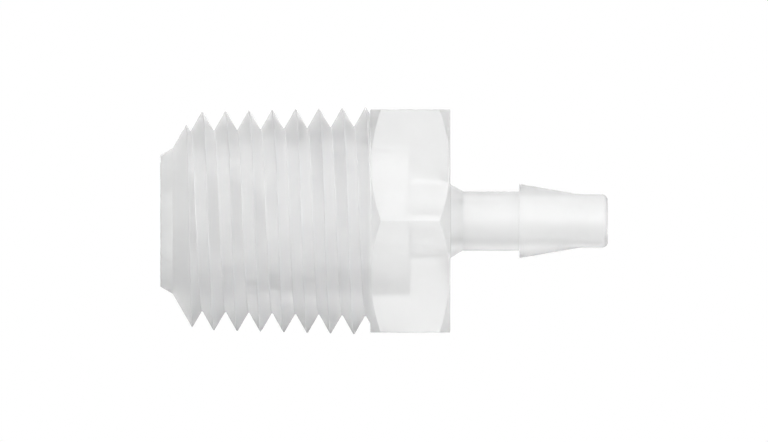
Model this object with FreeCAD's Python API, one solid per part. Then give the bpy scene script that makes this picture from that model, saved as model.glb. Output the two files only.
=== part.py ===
# Threaded hose nipple, one moulding in natural polypropylene.
# A tapered pipe thread on the left, a spanner hexagon, and a stem with a single barb for soft tube.
# A wide passage runs in from the thread end, and a narrow one runs on through the barb.
# Sizes are millimetres and angles are degrees. The part is drawn along +Z and laid down along +X at the end,
# so that a hexagon flat faces the floor. The origin is on the axis, in the thread's end face.
import FreeCAD, Part
import math
import os

# Pipe thread: 18 turns to the inch, a 60 degree form, 1 in 18 taper on the diameter
thread_pitch = 25.4 / 18
thread_flank_angle = 30.0        # each flank, from a plane square to the axis
thread_taper = 1 / 18            # growth of the diameter for each millimetre along the axis
pitch_diameter_at_end = 11.93    # pitch cone's diameter in the plane of the end face
thread_truncation = 0.0466       # what is missing from each sharp crest and each sharp root
thread_length = 12.70            # end face to hexagon
crest_above_axis = 2.535         # distance from the end face to the first crest that stands above the axis

# End of the thread: a plain pilot, then a steep lead cone that cuts the first turn away
end_face_diameter = 7.95
pilot_length = 0.75
pilot_angle = 30.0               # pilot's side, from the axis
lead_cone_angle = 30.0           # lead cone, from a plane square to the axis

# Spanner hexagon with both ends chamfered
hex_across_flats = 13.50
hex_width = 4.85
hex_chamfer_angle = 30.0         # from a plane square to the axis
hex_chamfer_inset = 0.05         # how far the chamfer's circle lies inside the flats

# Stem: a cone against the hexagon, a plain post, one barb and a plain tip
stem_length = 9.52
root_cone_length = 0.75
root_cone_angle = 30.0           # from the axis
post_diameter = 3.60
barb_diameter = 4.50
barb_shoulder_distance = 4.16    # hexagon to the barb's square shoulder
barb_cone_length = 3.72
tip_diameter = 3.23
tip_round = 0.34

# Passage
port_bore_diameter = 7.20
port_bore_depth = 15.12
stem_bore_diameter = 2.10

# How far the thread's ridge is sunk into its core, so that the two join
ridge_root_overlap = 0.03

hex_start = thread_length
stem_start = hex_start + hex_width
overall_length = stem_start + stem_length
flank = math.tan(math.radians(thread_flank_angle))
sharp_height = thread_pitch / 2 / flank
half_depth = sharp_height / 2 - thread_truncation
half_crest_flat = thread_truncation * flank
hex_corner_radius = hex_across_flats / 2 / math.cos(math.radians(30))


def at(radius, height):
    """A point of a profile, in the plane through the axis."""
    return FreeCAD.Vector(radius, 0, height)


def turned(outline):
    """A solid of revolution about the axis, from a closed list of points or edges."""
    if isinstance(outline[0], FreeCAD.Vector):
        wire = Part.makePolygon(outline + outline[:1])
    else:
        wire = Part.Wire(outline)
    return Part.Face(wire).revolve(FreeCAD.Vector(0, 0, 0), FreeCAD.Vector(0, 0, 1), 360)


def pitch_radius(height):
    return (pitch_diameter_at_end + thread_taper * height) / 2


def thread_ridge():
    """One ridge of the 60 degree form, swept right-handed along a helix on the pitch cone, from before the
    end face to past the hexagon. The axis stays the sweep's binormal, so the form never tilts."""
    crest_below_axis = crest_above_axis + thread_pitch / 2
    turns_before = math.ceil(crest_below_axis / thread_pitch) + 1
    first_height = crest_below_axis - turns_before * thread_pitch
    turns = math.ceil((hex_start - first_height) / thread_pitch) + 1
    foot = half_depth + ridge_root_overlap
    half_foot = half_crest_flat + (half_depth + foot) * flank
    first_radius = pitch_radius(first_height)
    corners = [
        at(first_radius + half_depth, first_height - half_crest_flat),
        at(first_radius + half_depth, first_height + half_crest_flat),
        at(first_radius - foot, first_height + half_foot),
        at(first_radius - foot, first_height - half_foot),
    ]
    cone_half_angle = math.degrees(math.atan(thread_taper / 2))
    path = Part.makeHelix(thread_pitch, turns * thread_pitch, first_radius, cone_half_angle)
    path.translate(at(0, first_height))
    sweep = Part.BRepOffsetAPI.MakePipeShell(path)
    sweep.setBiNormalMode(at(0, 1))
    sweep.add(Part.makePolygon(corners + corners[:1]), False, False)
    sweep.build()
    sweep.makeSolid()
    return sweep.shape()


def thread_core():
    """The cone that the thread's roots lie on, longer than the ridge at both ends."""
    low = -4 * thread_pitch
    high = hex_start + 4 * thread_pitch
    core = Part.makeCone(pitch_radius(low) - half_depth, pitch_radius(high) - half_depth, high - low)
    core.translate(FreeCAD.Vector(0, 0, low))
    return core


def thread_blank():
    """What the thread is kept inside: pilot, lead cone, and the plane of the hexagon's face."""
    end_radius = end_face_diameter / 2
    pilot_radius = end_radius + pilot_length * math.tan(math.radians(pilot_angle))
    outside = pitch_radius(hex_start) + sharp_height
    lead_end = pilot_length + (outside - pilot_radius) * math.tan(math.radians(lead_cone_angle))
    far_end = max(hex_start, lead_end)
    outline = [
        at(0, 0),
        at(end_radius, 0),
        at(pilot_radius, pilot_length),
        at(outside, lead_end),
        at(outside, far_end),
        at(0, far_end),
    ]
    return turned(outline).common(Part.makeCylinder(outside, hex_start))


def threaded_end():
    return thread_core().fuse(thread_ridge()).common(thread_blank())


def hexagon():
    """A prism with two corners on the Y axis, inside the double cone that chamfers its corners."""
    corners = []
    for i in range(7):
        angle = math.radians(90 + 60 * i)
        x = hex_corner_radius * math.cos(angle)
        y = hex_corner_radius * math.sin(angle)
        corners.append(FreeCAD.Vector(x, y, hex_start))
    prism = Part.Face(Part.makePolygon(corners)).extrude(FreeCAD.Vector(0, 0, hex_width))
    circle = hex_across_flats / 2 - hex_chamfer_inset
    meet = circle + hex_width / 2 / math.tan(math.radians(hex_chamfer_angle))
    chamfers = turned([
        at(0, hex_start),
        at(circle, hex_start),
        at(meet, hex_start + hex_width / 2),
        at(circle, stem_start),
        at(0, stem_start),
    ])
    return prism.common(chamfers)


def stem():
    """The turned outline of the stem, with a rounded rim at its tip."""
    post_radius = post_diameter / 2
    tip_radius = tip_diameter / 2
    root_radius = post_radius + root_cone_length * math.tan(math.radians(root_cone_angle))
    shoulder = stem_start + barb_shoulder_distance
    barb_end = shoulder + barb_cone_length
    round_centre = at(tip_radius - tip_round, overall_length - tip_round)
    half = math.radians(45)
    round_middle = round_centre + at(tip_round * math.cos(half), tip_round * math.sin(half))
    points = [
        at(0, overall_length),
        at(0, stem_start),
        at(root_radius, stem_start),
        at(post_radius, stem_start + root_cone_length),
        at(post_radius, shoulder),
        at(barb_diameter / 2, shoulder),
        at(tip_radius, barb_end),
        at(tip_radius, overall_length - tip_round),
    ]
    edges = [Part.makeLine(a, b) for a, b in zip(points, points[1:])]
    rim = at(tip_radius - tip_round, overall_length)
    edges.append(Part.Arc(points[-1], round_middle, rim).toShape())
    edges.append(Part.makeLine(rim, points[0]))
    return turned(edges)


def passage():
    """The stepped bore, run past both ends of the part."""
    port_radius = port_bore_diameter / 2
    stem_radius = stem_bore_diameter / 2
    beyond = thread_pitch
    return turned([
        at(0, -beyond),
        at(port_radius, -beyond),
        at(port_radius, port_bore_depth),
        at(stem_radius, port_bore_depth),
        at(stem_radius, overall_length + beyond),
        at(0, overall_length + beyond),
    ])


def hose_nipple():
    body = threaded_end().fuse([hexagon(), stem()]).removeSplitter()
    body = body.cut(passage())
    body.rotate(FreeCAD.Vector(0, 0, 0), FreeCAD.Vector(0, 1, 0), 90)
    return body


os.makedirs("parts", exist_ok=True)
nipple = hose_nipple()
nipple.exportStep("parts/hose_nipple.step")
print("hose_nipple", nipple.ShapeType, "valid", nipple.isValid(), "solids", len(nipple.Solids),
      "faces", len(nipple.Faces), "volume", round(nipple.Volume, 2))
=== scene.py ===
import math

import bmesh
import bpy
import numpy as np
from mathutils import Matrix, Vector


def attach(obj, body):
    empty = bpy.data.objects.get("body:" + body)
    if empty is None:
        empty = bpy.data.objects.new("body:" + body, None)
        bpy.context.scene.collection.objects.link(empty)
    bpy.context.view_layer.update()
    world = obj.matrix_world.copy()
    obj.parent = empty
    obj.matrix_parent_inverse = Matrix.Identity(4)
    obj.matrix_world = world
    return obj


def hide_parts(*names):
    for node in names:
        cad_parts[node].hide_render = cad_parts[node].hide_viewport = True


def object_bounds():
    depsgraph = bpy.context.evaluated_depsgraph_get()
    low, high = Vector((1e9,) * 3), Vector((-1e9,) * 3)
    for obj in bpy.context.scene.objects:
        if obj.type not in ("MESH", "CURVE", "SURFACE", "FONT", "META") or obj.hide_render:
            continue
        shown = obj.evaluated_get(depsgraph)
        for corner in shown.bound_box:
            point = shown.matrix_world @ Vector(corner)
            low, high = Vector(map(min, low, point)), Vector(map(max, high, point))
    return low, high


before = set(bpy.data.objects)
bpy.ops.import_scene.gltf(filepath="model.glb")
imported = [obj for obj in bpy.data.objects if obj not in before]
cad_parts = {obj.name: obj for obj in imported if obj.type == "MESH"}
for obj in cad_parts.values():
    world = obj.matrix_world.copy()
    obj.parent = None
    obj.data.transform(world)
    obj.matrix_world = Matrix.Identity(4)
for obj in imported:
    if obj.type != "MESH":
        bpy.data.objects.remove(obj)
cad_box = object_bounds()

# Pipe thread. The left half of the moulding: a tapered 60 degree thread, right-handed, formed in the mould's two
# halves. Its crests and roots are barely rounded. A pilot and a steep lead cone cut the first turn away.
MM = 0.001
PITCH = 25.4 / 18 * MM
FLANK = math.radians(30)
TAPER = 1 / 36
PITCH_RADIUS_AT_END = 5.965 * MM
CREST_BELOW_AXIS = 2.535 * MM + PITCH / 2
HALF_DEPTH = PITCH / 4 / math.tan(FLANK) - 0.0466 * MM
CREST_ROUND = 0.045 * MM
CREST_LOWERED = 0.004 * MM
ROOT_ROUND = 0.06 * MM
ARC_POINTS = 5
FIRST_TURN = -3
LAST_TURN = 10
END_FACE_RADIUS = 3.975 * MM
PILOT_LENGTH = 0.75 * MM
THREAD_END = 12.70 * MM

# The moulding is drawn as rows of points, one row for each angle round the axis. Angle 0 points down, and a quarter
# turn points away from the camera. The six edges of the hexagon each get a few rows of their own.
ANGLES = 192
EDGE_ROWS = 6
HEX_FLAT = 6.75 * MM
HEX_EDGE_ROUND = 0.10 * MM
edge_centre = (HEX_FLAT - HEX_EDGE_ROUND) / math.cos(FLANK)
edge_span = math.atan2(HEX_EDGE_ROUND * math.sin(FLANK), edge_centre + HEX_EDGE_ROUND * math.cos(FLANK))
corners = np.radians(30 + 60 * np.arange(6))
near_corners = (corners[:, None] + edge_span * np.linspace(-1, 1, EDGE_ROWS)).ravel()
turn = np.unique(np.concatenate([np.linspace(0, 2 * math.pi, ANGLES + 1), near_corners]))


def rows_of(*points):
    """The same points (x, radius) in every row."""
    return np.broadcast_to(np.array(points), (turn.size, len(points), 2))


def eased(before, corner, after, reach, steps=4, most=0.45):
    """Rounds a corner in every row with a short parabola: it leaves the first leg and joins the second at `reach`
    from the corner, or at the share `most` of the leg if that is less."""
    legs = [before - corner, after - corner]
    lengths = [np.linalg.norm(leg, axis=1, keepdims=True) + 1e-9 for leg in legs]
    ends = [corner + leg / length * np.minimum(reach, most * length) for leg, length in zip(legs, lengths)]
    s = np.linspace(0, 1, steps + 1)[None, :, None]
    return (1 - s) ** 2 * ends[0][:, None] + 2 * s * (1 - s) * corner[:, None] + s ** 2 * ends[1][:, None]


def pitch_radius(x):
    """The pitch cone's radius: what it is in the end face, and the taper times the distance from there."""
    return PITCH_RADIUS_AT_END + TAPER * x


def thread_form():
    """One pitch of the thread's section, as (along, out) from the pitch cone under the crest: an arc over the crest
    and an arc through the root, each tangent to the flanks. The crest is a hair lower than the solid's flat one."""
    tangent = math.pi / 2 - FLANK
    arc = np.linspace(-tangent, tangent, ARC_POINTS)
    crest_height = HALF_DEPTH - CREST_LOWERED
    crest = np.stack([CREST_ROUND * np.sin(arc), crest_height - CREST_ROUND * (1 - np.cos(arc))], axis=1)
    root = np.stack([PITCH / 2 + ROOT_ROUND * np.sin(arc), -HALF_DEPTH + ROOT_ROUND * (1 - np.cos(arc))], axis=1)
    return np.concatenate([crest, root])


def thread_rows():
    """The helix: each point of the form moves along the axis by one pitch a turn. Points that would lie outside the
    lead cone are gathered where the form crosses it, and the corner made there is eased."""
    form = thread_form()
    turns = np.arange(FIRST_TURN, LAST_TURN + 1)
    along = (turns[:, None] * PITCH + form[:, 0]).ravel()
    out = np.tile(form[:, 1], turns.size)
    x = CREST_BELOW_AXIS + PITCH * turn[:, None] / (2 * math.pi) + along
    points = np.stack([x, pitch_radius(x) + out], axis=2)
    pilot_radius = pilot_end[1]
    outside_lead = points[..., 1] - pilot_radius - (points[..., 0] - PILOT_LENGTH) / math.tan(FLANK)
    corner, after = crossing(points, outside_lead)
    edge = eased(rows_of(pilot_end)[:, 0], corner, points[np.arange(turn.size), after], CREST_ROUND)
    dropped = (np.arange(points.shape[1]) < after[:, None])[..., None]
    return np.concatenate([edge, np.where(dropped, edge[:, -1:], points)], axis=1)


def crossing(points, *amounts):
    """In each row, the place where the larger of the amounts first falls to zero, and the index of the point after
    it. Each amount changes evenly from point to point, so it reaches zero at its last value over its whole fall."""
    rows = np.arange(len(points))
    after = np.argmax(np.max(amounts, axis=0) <= 0, axis=1)
    last = [np.maximum(amount[rows, after - 1], 0) for amount in amounts]
    share = np.max([a / (a - amount[rows, after] + 1e-12) for a, amount in zip(last, amounts)], axis=0)[:, None]
    return points[rows, after - 1] * (1 - share) + points[rows, after] * share, after


mouth_edge = (0, END_FACE_RADIUS)
pilot_end = (PILOT_LENGTH, END_FACE_RADIUS + PILOT_LENGTH * math.tan(FLANK))
thread = thread_rows()
pilot = eased(rows_of(mouth_edge)[:, 0], rows_of(pilot_end)[:, 0], thread[:, 0], CREST_ROUND)

# Hexagon. It takes the spanner, and both its ends are chamfered by a cone whose circle lies just inside the flats.
# Its six edges are slightly rounded, as the mould leaves them.
HEX_END = 17.55 * MM
CHAMFER_CIRCLE = 6.70 * MM
CHAMFER_SLOPE = math.tan(math.radians(30))
CHAMFER_ROUND = 0.07 * MM


def hexagon_rows():
    """The hexagon's radius at each angle: the flat's distance over the cosine of the angle from its middle, or the
    far side of the small circle that rounds an edge. The chamfers rise by their slope outside their circle. Before
    them comes the thread, whose last points are gathered where it meets the near face or, further out, the
    chamfer."""
    off_corner = np.abs((turn - corners[0] + FLANK) % (2 * FLANK) - FLANK)
    flat = HEX_FLAT / np.cos(FLANK - off_corner)
    swing = np.minimum(off_corner, edge_span)
    edge = edge_centre * np.cos(swing) + np.sqrt(HEX_EDGE_ROUND ** 2 - (edge_centre * np.sin(swing)) ** 2)
    radius = np.where(off_corner < edge_span, edge, flat)
    rise = (radius - CHAMFER_CIRCLE) * CHAMFER_SLOPE
    near = np.stack([THREAD_END + rise, radius], axis=1)
    far = np.stack([HEX_END - rise, radius], axis=1)
    near_circle = rows_of((THREAD_END, CHAMFER_CIRCLE))[:, 0]
    far_circle = rows_of((HEX_END, CHAMFER_CIRCLE))[:, 0]
    inward = rows_of((HEX_END, 0))[:, 0]
    to_face = THREAD_END - thread[..., 0]
    corner, after = crossing(thread, to_face, to_face + CHAMFER_SLOPE * (thread[..., 1] - CHAMFER_CIRCLE))
    on_chamfer = corner[:, 1:] > CHAMFER_CIRCLE
    near[:, 0] = np.maximum(near[:, 0], np.where(on_chamfer[:, 0], corner[:, 0], 0))
    beyond = np.where(on_chamfer, near, near_circle)
    edge = eased(thread[np.arange(turn.size), after - 1], corner, beyond, CREST_ROUND)
    dropped = (np.arange(thread.shape[1]) >= after[:, None])[..., None]
    start = np.where(on_chamfer, edge[:, -1], near_circle)
    return [
        np.where(dropped, edge[:, :1], thread),
        edge,
        eased(edge[:, -1], start, near, CHAMFER_ROUND),
        eased(start, near, far, CHAMFER_ROUND),
        eased(near, far, far_circle, CHAMFER_ROUND),
        eased(far, far_circle, inward, CHAMFER_ROUND),
    ]


# Stem. A cone against the hexagon, a plain post, one barb with a square shoulder, and a plain tip with a round rim.
# The barb's edge is sharp, so that it bites into the tube, and its cone runs softly into the tip.
POST_RADIUS = 1.80 * MM
ROOT_CONE = 0.75 * MM
SHOULDER = 21.71 * MM
BARB_RADIUS = 2.25 * MM
BARB_END = 25.43 * MM
TIP_RADIUS = 1.615 * MM
TIP_ROUND = 0.34 * MM
TIP_END = 27.07 * MM
STEM_ROUND = 0.075 * MM
SHOULDER_ROUND = 0.05 * MM
BARB_EDGE_ROUND = 0.015 * MM
BARB_TO_TIP = 0.4 * MM
RIM_POINTS = 9


def turned_corners(outline, reaches):
    """Eases each corner of an outline that is the same in every row. Its first and last point only give the
    direction that it comes from and goes to."""
    rows = [rows_of(point)[:, 0] for point in outline]
    return [eased(*rows[i:i + 3], reach) for i, reach in enumerate(reaches)]


def stem_rows():
    """The turned outline of the stem, its corners eased, and a quarter circle round its rim."""
    outline = [
        (HEX_END, CHAMFER_CIRCLE),
        (HEX_END, POST_RADIUS + ROOT_CONE * math.tan(FLANK)),
        (HEX_END + ROOT_CONE, POST_RADIUS),
        (SHOULDER, POST_RADIUS),
        (SHOULDER, BARB_RADIUS),
        (BARB_END, TIP_RADIUS),
        (TIP_END - TIP_ROUND, TIP_RADIUS),
    ]
    quarter = np.linspace(0, math.pi / 2, RIM_POINTS)
    rim = np.stack([
        TIP_END - TIP_ROUND * (1 - np.sin(quarter)),
        TIP_RADIUS - TIP_ROUND * (1 - np.cos(quarter)),
    ], axis=1)
    reaches = [STEM_ROUND, STEM_ROUND, SHOULDER_ROUND, BARB_EDGE_ROUND, BARB_TO_TIP]
    return turned_corners(outline, reaches) + [rows_of(*rim)]


# Passage. A wide port runs in from the thread end to the middle of the hexagon, and a narrow bore goes on through
# the stem. Both are left by core pins.
PORT_RADIUS = 3.60 * MM
PORT_END = 15.12 * MM
BORE_RADIUS = 1.05 * MM
BORE_ROUND = 0.05 * MM
PORT_CORNER_ROUND = 0.15 * MM
MOUTH_ROUND = 0.04 * MM


def passage_rows():
    """The outline of both core pins from the tip to the mouth, and the end face, with each corner eased."""
    outline = [
        (TIP_END, TIP_RADIUS),
        (TIP_END, BORE_RADIUS),
        (PORT_END, BORE_RADIUS),
        (PORT_END, PORT_RADIUS),
        (0, PORT_RADIUS),
        mouth_edge,
        pilot_end,
    ]
    return turned_corners(outline, [BORE_ROUND, BORE_ROUND, PORT_CORNER_ROUND, MOUTH_ROUND, MOUTH_ROUND])


# The moulding. One piece of natural polypropylene, milky and translucent, made in one shot.
# Its surface is the rows above joined end to end, from the port's mouth round to the port's mouth again.
JOINED_WITHIN = 0.0004 * MM


def moulding_mesh():
    """Carries each row (x, radius) round the axis by its angle, to y = radius times its sine and z = minus radius
    times its cosine, and closes the grid both ways. Points that fall together, where rows were gathered and where
    the helix meets itself after a turn, are merged."""
    rows = np.concatenate([pilot] + hexagon_rows() + stem_rows() + passage_rows(), axis=1)
    x, radius = rows[..., 0], rows[..., 1]
    points = np.stack([x, radius * np.sin(turn)[:, None], -radius * np.cos(turn)[:, None]], axis=2)
    lines, columns = x.shape
    i, j = np.meshgrid(np.arange(lines - 1), np.arange(columns), indexing="ij")
    after = (j + 1) % columns
    quads = np.stack([i * columns + j, (i + 1) * columns + j, (i + 1) * columns + after, i * columns + after], axis=2)
    mesh = bpy.data.meshes.new("hose_nipple_moulding")
    mesh.from_pydata(points.reshape(-1, 3), [], quads.reshape(-1, 4))
    made = bmesh.new()
    made.from_mesh(mesh)
    bmesh.ops.remove_doubles(made, verts=made.verts, dist=JOINED_WITHIN)
    made.to_mesh(mesh)
    made.free()
    mesh.shade_smooth()
    mesh.normals_split_custom_set_from_vertices(vertex_normals(mesh))
    return mesh


def vertex_normals(mesh):
    """The mean of the normals of the faces round each vertex, each weighted by its face's area, so that the wide
    faces stay even and only the eased corners turn."""
    corner_vertex = np.empty(len(mesh.loops), int)
    mesh.loops.foreach_get("vertex_index", corner_vertex)
    faces = len(mesh.polygons)
    sizes, normals, areas = np.empty(faces, int), np.empty(3 * faces), np.empty(faces)
    mesh.polygons.foreach_get("loop_total", sizes)
    mesh.polygons.foreach_get("normal", normals)
    mesh.polygons.foreach_get("area", areas)
    normals = normals.reshape(faces, 3)
    weighted = np.repeat(normals * areas[:, None], sizes, axis=0)
    total = np.stack([np.bincount(corner_vertex, weighted[:, axis]) for axis in range(3)], axis=1)
    return total / np.linalg.norm(total, axis=1, keepdims=True)


class Value:
    """A socket in a node tree. The signs + - * on it add Math nodes, and node() adds a node of any other kind."""

    def __init__(self, tree, socket=None):
        self.tree = tree
        self.socket = socket

    def node(self, kind, settings=None, sockets=None, output=0):
        """Adds a node, with its settings first and then a value or a link for each of its sockets."""
        made = self.tree.nodes.new(kind)
        for name, setting in (settings or {}).items():
            setattr(made, name, setting)
        for name, given in (sockets or {}).items():
            if isinstance(given, Value):
                self.tree.links.new(given.socket, made.inputs[name])
            else:
                made.inputs[name].default_value = given
        return Value(self.tree, made.outputs[output] if made.outputs else None)

    def beside(self, output):
        """Another output of the node that this one is on."""
        return Value(self.tree, self.socket.node.outputs[output])

    def rise(self, low, high, top=1.0):
        """0 below `low` and `top` above `high`, with a smooth step between them."""
        return self.node("ShaderNodeMapRange", {"interpolation_type": "SMOOTHSTEP"},
                         {"Value": self, "From Min": low, "From Max": high, "To Max": top})

    def math_node(self, operation, first, second):
        """Adds one Math node."""
        return self.node("ShaderNodeMath", {"operation": operation}, {0: first, 1: second})

    def __add__(self, other):
        return self.math_node("ADD", self, other)

    def __radd__(self, other):
        return self.math_node("ADD", other, self)

    def __sub__(self, other):
        return self.math_node("SUBTRACT", self, other)

    def __rsub__(self, other):
        return self.math_node("SUBTRACT", other, self)

    def __mul__(self, other):
        return self.math_node("MULTIPLY", self, other)

    def __rmul__(self, other):
        return self.math_node("MULTIPLY", other, self)


REFRACTIVE_INDEX = 1.49
CLOUDS_PER_METRE = 260.0
GRAINS_PER_METRE = 5200.0
GRAIN_HEIGHT = 0.01 * MM
CLOUDY = (0.975, 0.977, 0.978, 1)
UNCLOUDED = (0.998, 0.998, 0.997, 1)
DIFFUSED = (0.986, 0.987, 0.987, 1)


def milky_polypropylene():
    """Milky plastic. Most light goes straight through it, the more so where the wall is thin, and the rest scatters
    back or comes out diffused on the other side. Faint clouds where the melt cooled unevenly change its colour and
    roughness, the moulded skin has a fine grain, and the passage is rougher inside the hexagon, where the two core
    pins meet."""
    material = bpy.data.materials.new("milky_polypropylene")
    material.use_nodes = True
    tree = material.node_tree
    tree.nodes.clear()
    shader = Value(tree)
    place = shader.node("ShaderNodeTexCoord", output="Object")
    across = shader.node("ShaderNodeVectorMath", {"operation": "MULTIPLY"}, {0: place, 1: (0, 1, 1)})
    off_axis = shader.node("ShaderNodeVectorMath", {"operation": "LENGTH"}, {0: across}, output=1)
    thick = off_axis.rise(2.2 * MM, 5.0 * MM)
    along = shader.node("ShaderNodeSeparateXYZ", None, {0: place})
    past_thread = along.rise(THREAD_END - 0.2 * MM, THREAD_END + 0.2 * MM)
    before_stem = 1 - along.rise(HEX_END - 0.15 * MM, HEX_END - 0.05 * MM)
    in_hexagon = thick * past_thread
    where_pins_meet = (1 - off_axis.rise(1.2 * MM, 4.8 * MM)) * past_thread * before_stem
    cloud = shader.node("ShaderNodeTexNoise", None,
                        {"Vector": place, "Scale": CLOUDS_PER_METRE, "Detail": 3.0, "Roughness": 0.55})
    grain = shader.node("ShaderNodeTexNoise", None, {"Vector": place, "Scale": GRAINS_PER_METRE, "Detail": 2.0})
    colour = shader.node("ShaderNodeMix", {"data_type": "RGBA"},
                         {"Factor": cloud, "A": CLOUDY, "B": UNCLOUDED}, output=2)
    bump = shader.node("ShaderNodeBump", None, {"Height": grain, "Strength": 0.15, "Distance": GRAIN_HEIGHT})
    clear = shader.node("ShaderNodeBsdfPrincipled", None, {
        "Base Color": colour,
        "Roughness": 0.12 + 0.02 * thick - 0.01 * in_hexagon + 0.04 * cloud + 0.35 * where_pins_meet,
        "Normal": bump,
        "IOR": REFRACTIVE_INDEX,
        "Transmission Weight": 1.0,
    })
    skin = shader.node("ShaderNodeBsdfPrincipled", None, {
        "Base Color": colour,
        "Roughness": 0.30 + 0.08 * cloud,
        "Normal": bump,
        "IOR": REFRACTIVE_INDEX,
    })
    through = shader.node("ShaderNodeBsdfTranslucent", None, {"Color": DIFFUSED})
    milk = shader.node("ShaderNodeMixShader", None, {0: 0.20 - 0.10 * in_hexagon, 1: skin, 2: through})
    milkiness = 0.30 + 0.07 * thick + 0.08 * in_hexagon
    surface = shader.node("ShaderNodeMixShader", None, {0: milkiness, 1: clear, 2: milk})
    shader.node("ShaderNodeOutputMaterial", None, {"Surface": surface})
    return material


moulding = bpy.data.objects.new("hose_nipple_moulding", moulding_mesh())
bpy.context.collection.objects.link(moulding)
moulding.data.materials.append(milky_polypropylene())
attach(moulding, "root")
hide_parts("hose_nipple")

# Floor. A plain pale table top under the part, at the height of its lowest crest. It is matt with a faint grain,
# and large enough to run out of sight in white.
FLOOR_HALF = 0.6
WHITE_FROM = 0.03
WHITE_AT = 0.25
# How far out from the part the painted shade on the table is full.
PAINTED_SHADE_AT = 0.04


def floor_mesh():
    """A square that the part lies on."""
    low = cad_box[0].z
    signs = np.array([(-1, -1), (1, -1), (1, 1), (-1, 1)]) * FLOOR_HALF
    mesh = bpy.data.meshes.new("floor")
    mesh.from_pydata(np.column_stack([signs, np.full(4, low)]), [], [(0, 1, 2, 3)])
    return mesh


def rays_that_look(tree):
    """1 for a ray that comes from the camera, off a gloss or through the plastic, and 0 for a ray of light."""
    ray = tree.node("ShaderNodeLightPath", output="Is Camera Ray")
    return tree.math_node("MINIMUM", ray + ray.beside("Is Glossy Ray") + ray.beside("Is Transmission Ray"), 1.0)


def pale_table():
    """A pale grey near the part. Further out it turns white for whoever looks, and casts no more light for that.
    Looked at off a gloss or through the plastic, it has a painted shade towards the open left end of the tent: a dark
    grey glow in place of its own shading."""
    material = bpy.data.materials.new("pale_table")
    material.use_nodes = True
    tree = material.node_tree
    tree.nodes.clear()
    shader = Value(tree)
    place = shader.node("ShaderNodeTexCoord", output="Object")
    grain = shader.node("ShaderNodeTexNoise", None, {"Vector": place, "Scale": 900.0, "Detail": 4.0})
    colour = shader.node("ShaderNodeMix", {"data_type": "RGBA"},
                         {"Factor": grain, "A": (0.78, 0.78, 0.78, 1), "B": (0.82, 0.82, 0.82, 1)}, output=2)
    surface = shader.node("ShaderNodeBsdfPrincipled", None, {"Base Color": colour, "Roughness": 0.7})
    white = shader.node("ShaderNodeEmission", None, {"Color": (1, 1, 1, 1), "Strength": 1.0})
    away = shader.node("ShaderNodeVectorMath", {"operation": "LENGTH"}, {0: place}, output=1)
    looked_at = rays_that_look(shader)
    whitened = away.rise(WHITE_FROM, WHITE_AT) * looked_at
    table = shader.node("ShaderNodeMixShader", None, {0: whitened, 1: surface, 2: white})
    toward = shader.node("ShaderNodeVectorMath", {"operation": "NORMALIZE"}, {0: place})
    leftward = (0.0 - shader.node("ShaderNodeSeparateXYZ", None, {0: toward})).rise(0.3, 0.9)
    indirect = looked_at * (1 - shader.node("ShaderNodeLightPath", output="Is Camera Ray"))
    # Painted shade: for gloss and refraction only, the table glows dark grey towards the left, a few centimetres out
    # from the part, in place of the shade that the tent's open end gives.
    painted_shade = shader.node("ShaderNodeEmission", None, {"Color": (0.15, 0.15, 0.15, 1), "Strength": 1.0})
    painted_shade_share = leftward * away.rise(0.0, PAINTED_SHADE_AT) * indirect
    mixed = shader.node("ShaderNodeMixShader", None, {0: painted_shade_share, 1: table, 2: painted_shade})
    shader.node("ShaderNodeOutputMaterial", None, {"Surface": mixed})
    return material


floor = bpy.data.objects.new("floor", floor_mesh())
bpy.context.collection.objects.link(floor)
floor.data.materials.append(pale_table())

# Lamp. A wide weak soft box overhead, a little in front of the part and turned to it.
LAMP_IN_FRONT = 0.05
LAMP_ABOVE = 0.30
lamp = bpy.data.lights.new("overhead", "AREA")
lamp.shape = "SQUARE"
lamp.size = 0.45
lamp.energy = 0.14
overhead = bpy.data.objects.new("overhead", lamp)
bpy.context.collection.objects.link(overhead)
overhead.location = (13.5 * MM, -LAMP_IN_FRONT, LAMP_ABOVE)
overhead.rotation_euler = (math.atan2(LAMP_IN_FRONT, LAMP_ABOVE), 0, 0)

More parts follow.
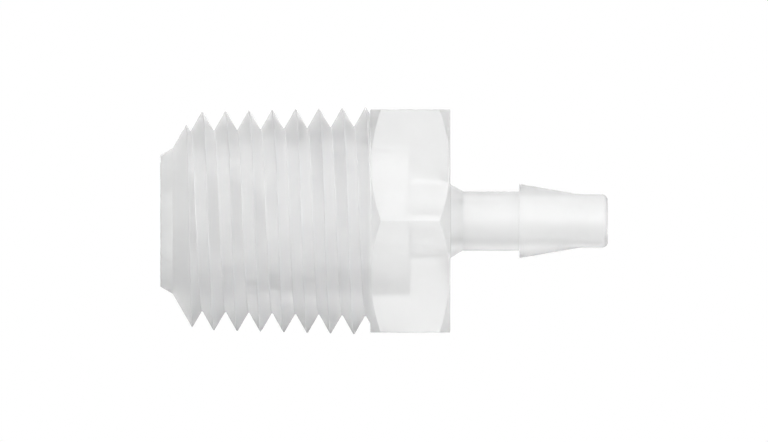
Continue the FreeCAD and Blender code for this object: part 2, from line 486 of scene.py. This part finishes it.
# Tent. White cloth all round, brightest behind the camera, dimmer at its top and right, and open at the left end of
# the part. The camera itself sees it plain white.
TENT_LIGHT = 0.87
LEFT_DIMMED = 0.85
RIGHT_DIMMED = 0.5
TOP_DIMMED = 0.2
BEHIND_CAMERA_ADDED = 0.95
world = bpy.data.worlds.new("white_tent")
bpy.context.scene.world = world
world.use_nodes = True
world.node_tree.nodes.clear()
tent = Value(world.node_tree)
to_right = tent.node("ShaderNodeSeparateXYZ", None, {0: tent.node("ShaderNodeTexCoord", output="Generated")})
dimmed = (0.0 - to_right).rise(0.3, 0.8, top=LEFT_DIMMED) + to_right.rise(0.35, 0.85, top=RIGHT_DIMMED)
top_dimmed = to_right.beside("Z").rise(0.5, 0.95, top=TOP_DIMMED)
behind_camera = (0.0 - to_right.beside("Y")).rise(0.0, 1.0, top=BEHIND_CAMERA_ADDED)
level = TENT_LIGHT + (1 - TENT_LIGHT) * rays_that_look(tent)
level = level * (1 - dimmed) * (1 - top_dimmed) + behind_camera
seen = tent.node("ShaderNodeLightPath", output="Is Camera Ray")
cloth = tent.node("ShaderNodeBackground", None, {"Color": (1, 1, 1, 1), "Strength": level + seen * (1 - level)})
tent.node("ShaderNodeOutputWorld", None, {"Surface": cloth})

# Light crosses the plastic many times before it comes out, and each path is followed as far as that, with its
# highlights left sharp.
MOST_BOUNCES = 32
paths = bpy.context.scene.cycles
paths.max_bounces = paths.diffuse_bounces = paths.glossy_bounces = paths.transmission_bounces = MOST_BOUNCES
paths.blur_glossy = 0.0

# Camera. Square on to the side of the part, level with its axis, with no perspective, as the photograph is. The end
# face and the axis fall on the same pixels of the frame as there.
PIXEL = MM / 16.533
FRAME_WIDTH = 768
FRAME_HEIGHT = 442
END_FACE_AT = 160.26
AXIS_AT = 220.95
camera = bpy.data.objects.new("camera", bpy.data.cameras.new("camera"))
bpy.context.collection.objects.link(camera)
camera.data.type = "ORTHO"
camera.data.ortho_scale = FRAME_WIDTH * PIXEL
camera.location = ((FRAME_WIDTH / 2 - END_FACE_AT) * PIXEL, -0.3, (AXIS_AT - FRAME_HEIGHT / 2) * PIXEL)
camera.rotation_euler = (math.pi / 2, 0, 0)
camera.data.clip_start = 0.01
camera.data.clip_end = 5.0
bpy.context.scene.camera = camera
bpy.context.scene.view_settings.view_transform = "Standard"
